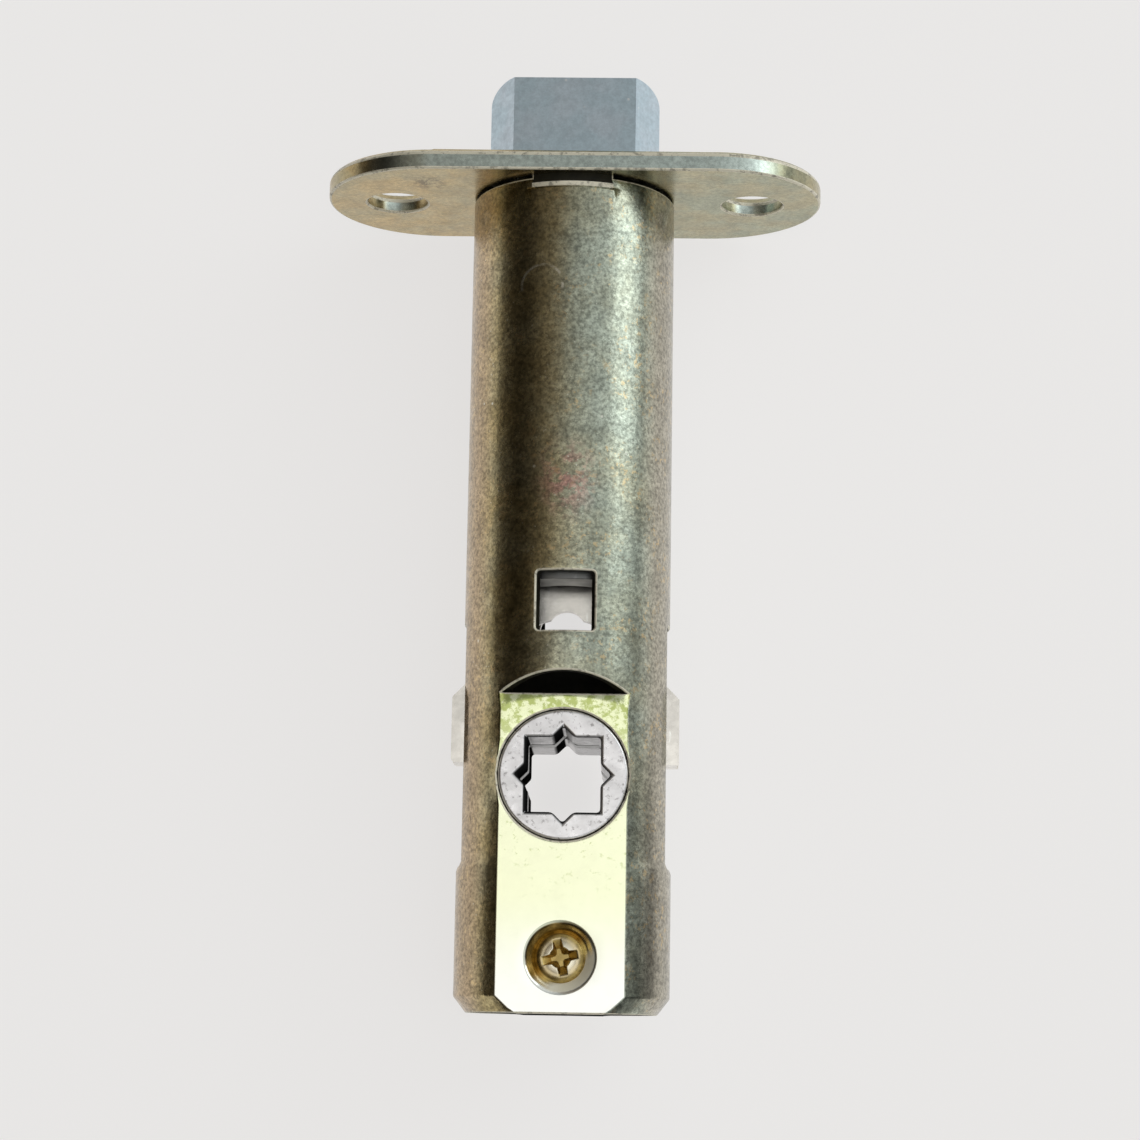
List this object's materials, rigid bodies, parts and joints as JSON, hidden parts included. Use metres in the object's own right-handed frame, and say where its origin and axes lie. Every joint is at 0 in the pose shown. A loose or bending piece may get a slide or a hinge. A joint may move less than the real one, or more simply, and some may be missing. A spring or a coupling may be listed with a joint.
{
  "type": "passage latch",
  "caption": "Tubular passage latch: a bevelled spring bolt in a round-ended faceplate, drawn back by a star-shaped spindle hub and a sprung yoke inside a tube flattened at its rear.",
  "frame": {"origin": "centre of the faceplate's outer face, on the axis of the tube, where the bolt leaves it", "axes": "+Y along the tube towards the bolt's tip, +X along the faceplate, +Z along the spindle, away from the bolt's bevel"},
  "size_m": [0.0572, 0.1063, 0.0254],
  "materials": {
    "tube_zinc": "yellow zinc plate, satin, mottled",
    "plate_zinc": "pale yellow zinc plate, satin",
    "block_zinc": "cast zinc, matt",
    "screw_brass": "yellow plated",
    "hub_metal": "sintered, matt silver",
    "cam_steel": "bare steel",
    "yoke_steel": "bright zinc plate",
    "pin_steel": "bright steel",
    "bolt_satin": "satin blue-grey",
    "spring_steel": "drawn wire"
  },
  "bodies": {
    "case": {"latch_tube": "tube_zinc", "faceplate": "plate_zinc", "end_block": "block_zinc", "end_screw": "screw_brass", "spring_guide_left": "pin_steel", "spring_guide_right": "pin_steel", "return_spring_left": "spring_steel", "return_spring_right": "spring_steel"},
    "hub": {"hub_bush_front": "hub_metal", "hub_bush_back": "hub_metal", "cam_plate": "cam_steel"},
    "yoke": {"yoke_plate_front": "yoke_steel", "yoke_plate_back": "yoke_steel", "spring_washer": "yoke_steel", "yoke_rivet_left": "pin_steel", "yoke_rivet_right": "pin_steel", "bolt_spring": "spring_steel"},
    "bolt": {"bolt_head": "bolt_satin", "tail_strip": "yoke_steel", "tail_pin": "pin_steel", "pull_pin": "pin_steel"}
  },
  "joints": [
    {"name": "hub_turn", "type": "hinge", "parent": "case", "child": "hub", "pos_m": [0, -0.06985, 0], "axis": [0, 0, 1], "range_deg": [0, 54.8]},
    {"name": "yoke_slide", "type": "slide", "parent": "case", "child": "yoke", "axis": [0, -1, 0], "range_m": [0, 0.0108], "stiffness_N_per_m": 300, "springref_m": -0.006, "deforming": ["return_spring_left", "return_spring_right"]},
    {"name": "bolt_slide", "type": "slide", "parent": "yoke", "child": "bolt", "axis": [0, -1, 0], "range_m": [0, 0.0108], "stiffness_N_per_m": 350, "springref_m": -0.008, "deforming": ["bolt_spring"]}
  ],
  "couplings": [
    {"joint": "hub_turn", "follows": "yoke_slide", "rad_per_m": 88.5}
  ]
}
